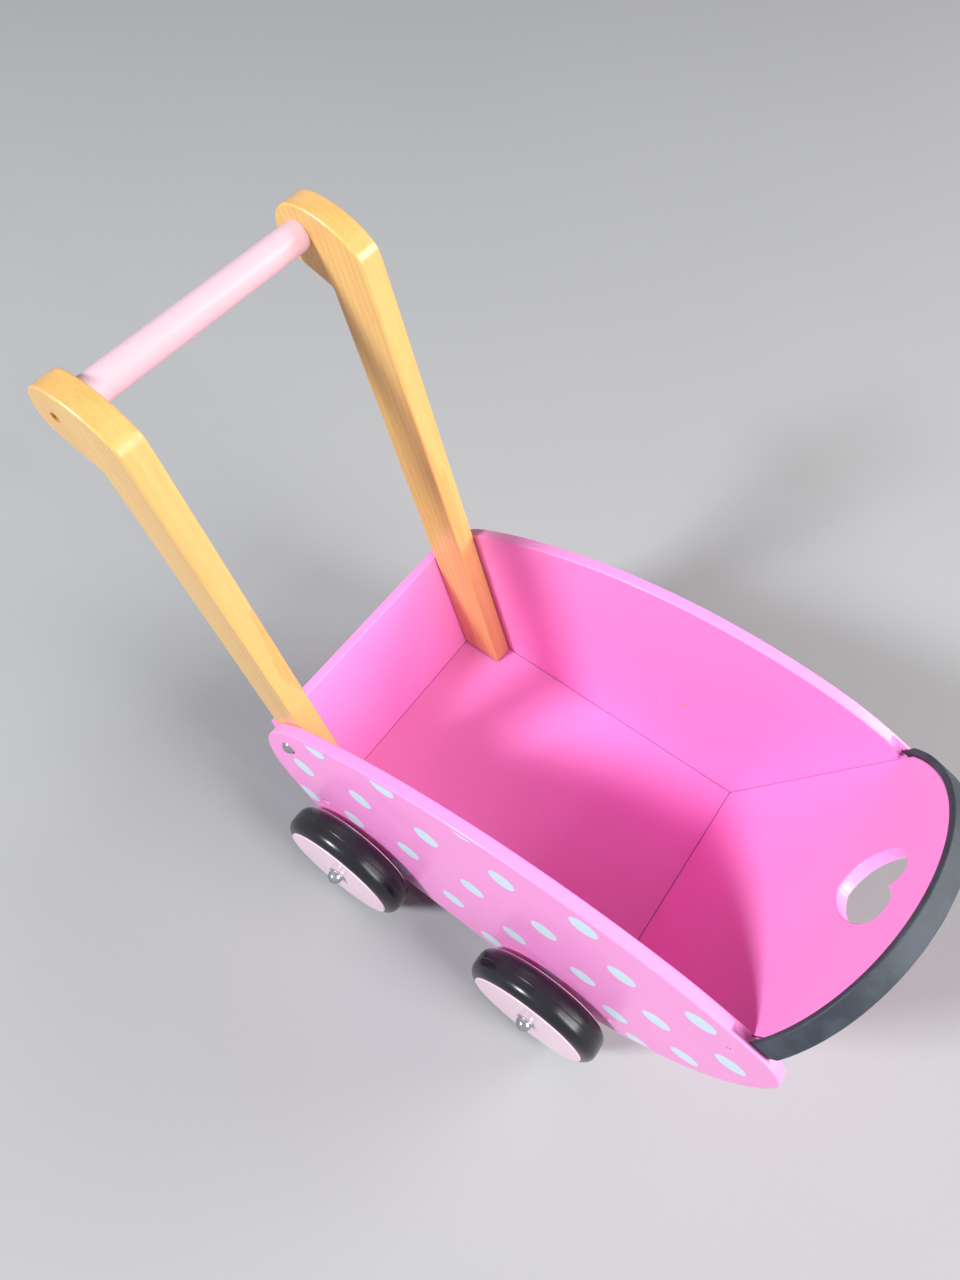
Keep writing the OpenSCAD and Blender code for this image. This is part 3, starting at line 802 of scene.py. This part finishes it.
def turned(name, outline, material, closed=True, sides=None):
    """A mesh turned about Z from an outline of (radius, height); open outlines start and end on the axis."""
    sides = sides or edge_settings().turns
    around = [(math.cos(math.tau * k / sides), math.sin(math.tau * k / sides)) for k in range(sides)]
    shape = bmesh.new()
    rings = [[shape.verts.new((r * c, r * s, a)) for c, s in around] if r > 1e-7 else [shape.verts.new((0, 0, a))]
             for r, a in outline]
    joins = list(zip(rings, rings[1:])) + ([(rings[-1], rings[0])] if closed else [])
    for one, two in joins:
        for k in range(sides):
            n = (k + 1) % sides
            corners = [one[k % len(one)], one[n % len(one)], two[n % len(two)], two[k % len(two)]]
            shape.faces.new(list(dict.fromkeys(corners)))
    bmesh.ops.recalc_face_normals(shape, faces=shape.faces)
    return from_bmesh(name, shape, material)


def place_turned(piece, centre, outward=1):
    """Lays a turned mesh's Z along +Y or -Y and moves it into place."""
    piece.data.transform(Matrix.Translation(centre) @ Matrix.Rotation(-math.pi / 2 * outward, 4, "X"))


def round_box(node):
    """The centre, radius and half length of a round CAD piece that lies along Y."""
    lo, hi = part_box(node)
    return (lo + hi) / 2, (hi.z - lo.z) / 2, (hi.y - lo.y) / 2


def rod(name, node, material, bend, steps):
    """A round bar with rounded-over ends in a CAD node's place."""
    centre, radius, half = round_box(node)
    outline = rounded([(0, -half, 0), (radius, -half, bend), (radius, half, bend), (0, half, 0)], steps)
    made = turned(name, outline, material, closed=False)
    place_turned(made, centre)
    return made


class STROLLER_OT_wheels(bpy.types.Operator):
    """Turn the wheel discs and their tyres, and finish the hub bushes"""

    bl_idname = "stroller.wheels"
    bl_label = "Wheels"

    def execute(self, context):
        rim, small = edge_settings().rim, 0.3 * MM
        gap = 0.05 * MM
        # The tyre's tongue sits in a groove of this depth in the disc, which leaves a lip on each side.
        groove, lip = 2 * MM, 3.25 * MM
        shoulder, line_high, line_half = 9.8 * MM, 0.3 * MM, 0.5 * MM
        for wheel in WHEELS:
            body, side = "wheel_" + wheel, 1 if wheel.endswith("left") else -1
            centre, disc_r, half = round_box("wheel_disc_" + wheel)
            bore, seat, tongue = round_box("hub_bush_" + wheel)[1] + gap, disc_r - groove, half - lip
            outline = rounded([
                (bore, -half, small), (disc_r, -half, rim), (disc_r, -tongue, small), (seat, -tongue, 0),
                (seat, tongue, 0), (disc_r, tongue, small), (disc_r, half, rim), (bore, half, small)])
            disc = turned("painted_disc_" + wheel, outline, pale_paint())
            place_turned(disc, centre, side)
            settle(disc, body, "wheel_disc_" + wheel)

            tyre_r, wide = round_box("tyre_" + wheel)[1:]
            seat, inner, tongue = seat + gap, disc_r + gap, tongue - gap
            crown = tyre_r - line_high
            outline = rounded([
                (seat, -tongue, 0), (inner, -tongue, 0), (inner, -wide, 0.4 * MM), (crown, -wide, shoulder),
                (crown, -line_half, 0.4 * MM), (tyre_r, 0, small), (crown, line_half, 0.4 * MM),
                (crown, wide, shoulder), (inner, wide, 0.4 * MM), (inner, tongue, 0), (seat, tongue, 0)], 8)
            tyre = turned("rubber_tyre_" + wheel, outline, tyre_rubber())
            place_turned(tyre, centre, side)
            settle(tyre, body, "tyre_" + wheel)
            finish_node("hub_bush_" + wheel, nylon())
        return {"FINISHED"}


def finish_node(node, material):
    """A CAD node that keeps its own shape gets its material."""
    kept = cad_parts[node]
    kept.data.materials.clear()
    kept.data.materials.append(material)


def repeat_group():
    """Geometry nodes: one fastener on every point, turned to face outward and spun at random about its axis."""
    tree, given, out = new_group("Fasteners", [
        ("Points", "NodeSocketGeometry", None), ("Fastener", "NodeSocketObject", None), ("Spin", FLOAT, 0.0),
        ("Seed", "NodeSocketInt", 0), ("Finish", "NodeSocketMaterial", None)], [("Geometry", "NodeSocketGeometry")],
        "GeometryNodeTree")
    model = add(tree, "GeometryNodeObjectInfo", {"Object": given["Fastener"]})
    outward = add(tree, "GeometryNodeInputNamedAttribute", {"Name": "outward"}, data_type="FLOAT_VECTOR")
    spin = add(tree, "FunctionNodeRandomValue", {2: 0.0, 3: given["Spin"], "Seed": given["Seed"]},
               data_type="FLOAT")
    facing = add(tree, "FunctionNodeAlignRotationToVector", {"Vector": outward.outputs[0]}, axis="Z")
    about = add(tree, "FunctionNodeAxisAngleToRotation", {"Axis": (0, 0, 1), "Angle": spin.outputs[1]})
    turn = add(tree, "FunctionNodeRotateRotation", {0: facing.outputs[0], 1: about.outputs[0]}, rotation_space="LOCAL")
    placed = add(tree, "GeometryNodeInstanceOnPoints", {"Points": given["Points"],
                 "Instance": model.outputs["Geometry"], "Rotation": turn.outputs[0]})
    real = add(tree, "GeometryNodeRealizeInstances", {0: placed.outputs[0]})
    dressed = add(tree, "GeometryNodeSetMaterial", {0: real.outputs[0], "Material": given["Finish"]})
    feed(tree, out, {0: dressed.outputs[0]})
    return tree


def solids(node):
    """The points of each separate solid in a CAD node."""
    shape = welded(node)
    found = [[v.co.copy() for v in part]
             for part in joined(shape.verts, lambda v: [e.other_vert(v) for e in v.link_edges])]
    shape.free()
    return found


def outer_ends(node, outward=None):
    """For each solid of a node, the middle of its outermost end and the direction in which that faces."""
    ends = []
    for part in solids(node):
        middle = sum(part, Vector()) / len(part)
        way = outward or Vector((0, math.copysign(1, middle.y), 0))
        far = max(p.dot(way) for p in part)
        rim = [p for p in part if p.dot(way) > far - 1e-5]
        ends.append((sum(rim, Vector()) / len(rim), way))
    return sorted(ends, key=lambda end: tuple(round(c, 5) for c in end[0]))


def applied(piece):
    """A plain mesh of the piece with its modifiers applied."""
    bpy.context.view_layer.update()
    return bpy.data.meshes.new_from_object(piece.evaluated_get(bpy.context.evaluated_depsgraph_get()))


def repeat(name, fastener, ends, material, spin=0.0, seed=0):
    """Puts a copy of the fastener, whose top is at its own origin, on every end and returns one plain mesh."""
    mesh = bpy.data.meshes.new(name)
    mesh.from_pydata([tuple(p) for p, way in ends], [], [])
    outward = mesh.attributes.new("outward", "FLOAT_VECTOR", "POINT")
    for mark, (p, way) in zip(outward.data, ends):
        mark.vector = way
    points = as_object(name + "_points", mesh)
    tree = shared("Fasteners", repeat_group)
    grower = points.modifiers.new("Fasteners", "NODES")
    grower.node_group = tree
    sockets = {s.name: s.identifier for s in tree.interface.items_tree if s.in_out == "INPUT"}
    for key, value in (("Fastener", fastener), ("Spin", spin), ("Seed", seed), ("Finish", material)):
        grower[sockets[key]] = value
    made = as_object(name, applied(points), material)
    made.data.name = name
    points.modifiers.clear()
    bpy.data.objects.remove(points)
    bpy.data.objects.remove(fastener)
    if not made.data.polygons:
        raise RuntimeError(f"{name}: no fastener was placed")
    return made


def cross_recess(piece, across, depth):
    """Cuts a cross-shaped driver recess into the top of a screw's head."""
    cutter, slot, low_end = bmesh.new(), across * 0.24, 0.45
    for turn in (0, math.pi / 2):
        block = bmesh.ops.create_cube(cutter, size=1.0)["verts"]
        for v in block:
            taper = 1.0 if v.co.z > 0 else low_end
            v.co = Vector((v.co.x * across * taper, v.co.y * slot * (0.6 + 0.4 * taper), v.co.z * depth * 2))
        bmesh.ops.rotate(cutter, verts=block, cent=(0, 0, 0), matrix=Matrix.Rotation(turn, 3, "Z"))
    tool = from_bmesh("recess_tool", cutter, None)
    cut = piece.modifiers.new("Recess", "BOOLEAN")
    cut.operation, cut.solver, cut.object, cut.use_self = "DIFFERENCE", "EXACT", tool, True
    mesh, name, material = applied(piece), piece.name, piece.data.materials[0]
    bpy.data.objects.remove(piece)
    bpy.data.objects.remove(tool)
    return as_object(name, mesh, material)


def wood_screw(total, material):
    """A countersunk screw that points down from its head's top."""
    head, shank, edge = 3.8 * MM, 2.0 * MM, 0.1 * MM
    outline = rounded([(0, -total, 0), (shank / 2, -total, 0), (shank, shank - total, 0), (shank, shank - head, 0),
                       (head, -2 * edge, edge), (head, 0, edge), (0, 0, 0)], 2)
    return cross_recess(turned("screw", outline, material, closed=False, sides=32), head * 1.05, head * 0.4)


def dome(radius, reach, steps):
    """Outline points over a ball's top, which is at the origin, down to the reach, an angle, and back up."""
    angles = [reach * (1 - k / steps) for k in range(steps + 1)]
    return [(radius * math.sin(a), radius * math.cos(a) - radius) for a in angles]


class STROLLER_OT_fasteners(bpy.types.Operator):
    """Set the screws, the domed arm bolts and their inserts"""

    bl_idname = "stroller.fasteners"
    bl_label = "Screws and Bolts"

    def execute(self, context):
        short, long = 25 * MM, 42 * MM
        for seed, (node, total, outward) in enumerate([
                ("arm_screws", short, None), ("front_panel_screws", short, None), ("floor_screws", short, None),
                ("rear_panel_screws", short, REAR_OUTWARD), ("grip_screws", long, None)], 3):
            piece = repeat("zinc_" + node, wood_screw(total, zinc()), outer_ends(node, outward), zinc(),
                           spin=math.tau, seed=seed)
            settle(piece, "frame", node, weighted=False)
        board, insert, shank_r = 10 * MM, 13 * MM, 3 * MM
        head_r, head_high = 6.5 * MM, 4 * MM
        end = -(board + insert - 1 * MM + head_high)
        dome_r = (head_r ** 2 + head_high ** 2) / (2 * head_high)
        outline = [(0, end), (shank_r, end), (shank_r, -head_high)] + dome(dome_r, math.asin(head_r / dome_r), 14)
        bolt = turned("bolt", outline, chrome(), closed=False)
        piece = repeat("chrome_arm_bolts", bolt, outer_ends("arm_bolts"), chrome(), seed=11)
        settle(piece, "frame", "arm_bolts")
        finish_node("arm_inserts", zinc())
        return {"FINISHED"}


class STROLLER_OT_axles(bpy.types.Operator):
    """Turn the axles, their washers and the domed cap nuts"""

    bl_idname = "stroller.axles"
    bl_label = "Axles and Cap Nuts"

    def execute(self, context):
        for node in ("front_axle", "rear_axle"):
            axle = rod("zinc_" + node, node, zinc(), 0.5 * MM, 3)
            settle(axle, "frame", node)
        centre, axle_r = round_box("front_axle")[:2]
        hole = axle_r + 0.05 * MM

        def round_size(node):
            """The radius and length of a node's first solid."""
            first = solids(node)[0]
            ys = [p.y for p in first]
            return max(p.z for p in first) - centre.z, max(ys) - min(ys)

        for node in ("spacer_washers", "outer_washers"):
            radius, thick = round_size(node)
            bend = min(0.3 * MM, thick / 4)
            outline = rounded([(hole, -thick, bend), (radius, -thick, bend), (radius, 0, bend), (hole, 0, bend)], 3)
            piece = repeat("zinc_" + node, turned("washer", outline, zinc()), outer_ends(node), zinc(), seed=5)
            settle(piece, "frame", node)
        radius, tall = round_size("cap_nuts")
        edge, crown = 0.3 * MM, 3.5 * MM
        outline = [(0, -crown), (hole, -crown), (hole, -tall), (radius - edge, -tall), (radius, edge - tall)]
        outline += dome(radius, math.pi / 2, 16)
        nut = turned("nut", outline, chrome(), closed=False)
        piece = repeat("chrome_cap_nuts", nut, outer_ends("cap_nuts"), chrome(), seed=9)
        settle(piece, "frame", "cap_nuts")
        return {"FINISHED"}


class STROLLER_OT_stage(bpy.types.Operator):
    """Add the floor, the lamps and the camera"""

    bl_idname = "stroller.stage"
    bl_label = "Stage"

    def execute(self, context):
        scene, wanted = context.scene, context.scene.stroller_stage
        scene.view_settings.view_transform = "Standard"
        shape, floor_radius = bmesh.new(), 9.0
        bmesh.ops.create_circle(shape, cap_ends=True, segments=96, radius=floor_radius)
        made, tree, surface, place, lift = new_material("Floor", 0.0002)
        here, tone = place["Object"], opaque(wanted.floor)
        darker = opaque([c * 0.985 for c in wanted.floor])
        feed(tree, lift, {"Height": noise(tree, here, 300.0)})
        feed(tree, surface, {
            "Base Color": blend(tree, ramp(tree, noise(tree, here, 2.2), 0.3, 0.7), darker, tone),
            "Roughness": 0.85, "Specular IOR Level": 0.2,
            "Alpha": ramp(tree, vector_calc(tree, "LENGTH", here), wanted.fade_start, wanted.fade_end, 1.0, 0.0)})
        from_bmesh("floor", shape, made)

        world = scene.world or bpy.data.worlds.new("Surroundings")
        scene.world = world
        world.use_nodes = True
        tree = world.node_tree
        tree.nodes.clear()
        path = add(tree, "ShaderNodeLightPath").outputs
        mirrored = calc(tree, "MAXIMUM", path["Is Glossy Ray"], path["Is Transmission Ray"])
        seen = calc(tree, "MAXIMUM", path["Is Camera Ray"], mirrored)
        lit = add(tree, "ShaderNodeBackground", {"Color": (0.93, 0.96, 1.0, 1), "Strength": wanted.surroundings})
        backdrop = add(tree, "ShaderNodeBackground", {"Color": (0.80, 0.81, 0.83, 1), "Strength": 0.9})
        either = add(tree, "ShaderNodeMixShader", {0: seen, 1: lit.outputs[0], 2: backdrop.outputs[0]})
        add(tree, "ShaderNodeOutputWorld", {"Surface": either.outputs[0]})

        cool, warm = (0.94, 0.975, 1.0), (1.0, 0.99, 0.97)
        for name, power, size, heading, height, tint in (
                ("window_lamp", wanted.window, wanted.window_size, 235, 39, cool),
                ("high_lamp", wanted.high, wanted.high_size, 0, 48, warm),
                ("ahead_lamp", wanted.ahead, wanted.soft_size, 0, 28, warm),
                ("beyond_lamp", wanted.beyond, wanted.soft_size, 45, 30, warm)):
            lamp = bpy.data.lights.new(name, "AREA")
            lamp.energy, lamp.size, lamp.color = power, size, tint
            carrier = bpy.data.objects.new(name, lamp)
            scene.collection.objects.link(carrier)
            turn, rise = math.radians(heading), math.radians(height)
            away = Vector((math.cos(rise) * math.cos(turn), math.cos(rise) * math.sin(turn), math.sin(rise)))
            carrier.location = Vector((0, 0, 0.2)) + away * wanted.lamp_distance
            carrier.rotation_euler = (-away).to_track_quat("-Z", "Y").to_euler()

        camera = bpy.data.objects.new("camera", bpy.data.cameras.new("camera"))
        scene.collection.objects.link(camera)
        camera.data.lens, camera.data.sensor_width, camera.data.sensor_fit = wanted.lens, 36.0, "AUTO"
        camera.data.clip_start, camera.data.clip_end = 0.02, 40.0
        heading, dip, roll = wanted.camera_heading, wanted.camera_dip, wanted.camera_roll
        ahead = Vector((-math.sin(heading) * math.cos(dip), math.cos(heading) * math.cos(dip), -math.sin(dip)))
        right = Vector((math.cos(heading), math.sin(heading), 0))
        up = right.cross(ahead)
        right, up = right * math.cos(roll) + up * math.sin(roll), up * math.cos(roll) - right * math.sin(roll)
        turn = Matrix((right, up, -ahead)).transposed().to_4x4()
        camera.matrix_world = Matrix.Translation(Vector(wanted.camera_place)) @ turn
        scene.camera = camera
        return {"FINISHED"}


OPERATORS = (STROLLER_OT_side_panels, STROLLER_OT_tub_boards, STROLLER_OT_bumper, STROLLER_OT_handle,
             STROLLER_OT_wheels, STROLLER_OT_axles, STROLLER_OT_fasteners, STROLLER_OT_stage)


class STROLLER_PT_pieces(bpy.types.Panel):
    """Lists the stroller's settings and pieces"""

    bl_idname = "STROLLER_PT_pieces"
    bl_label = "Doll Stroller"
    bl_space_type = "VIEW_3D"
    bl_region_type = "UI"
    bl_category = "Doll Stroller"

    def draw(self, context):
        for settings in (context.scene.stroller_finish, context.scene.stroller_edges, context.scene.stroller_stage):
            box = self.layout.box()
            for key in settings.__annotations__:
                box.prop(settings, key)
        for operator in OPERATORS:
            self.layout.operator(operator.bl_idname)


CLASSES = (StrollerFinishSettings, StrollerEdgeSettings, StrollerStageSettings, *OPERATORS, STROLLER_PT_pieces)


def register():
    for each in CLASSES:
        bpy.utils.register_class(each)
    bpy.types.Scene.stroller_finish = PointerProperty(type=StrollerFinishSettings)
    bpy.types.Scene.stroller_edges = PointerProperty(type=StrollerEdgeSettings)
    bpy.types.Scene.stroller_stage = PointerProperty(type=StrollerStageSettings)


def unregister():
    del bpy.types.Scene.stroller_stage
    del bpy.types.Scene.stroller_edges
    del bpy.types.Scene.stroller_finish
    for each in reversed(CLASSES):
        bpy.utils.unregister_class(each)


def main():
    register()
    for operator in OPERATORS:
        group, name = operator.bl_idname.split(".")
        if getattr(getattr(bpy.ops, group), name)() != {"FINISHED"}:
            raise RuntimeError(operator.bl_label + " wasn't finished")


if __name__ == "__main__":
    main()
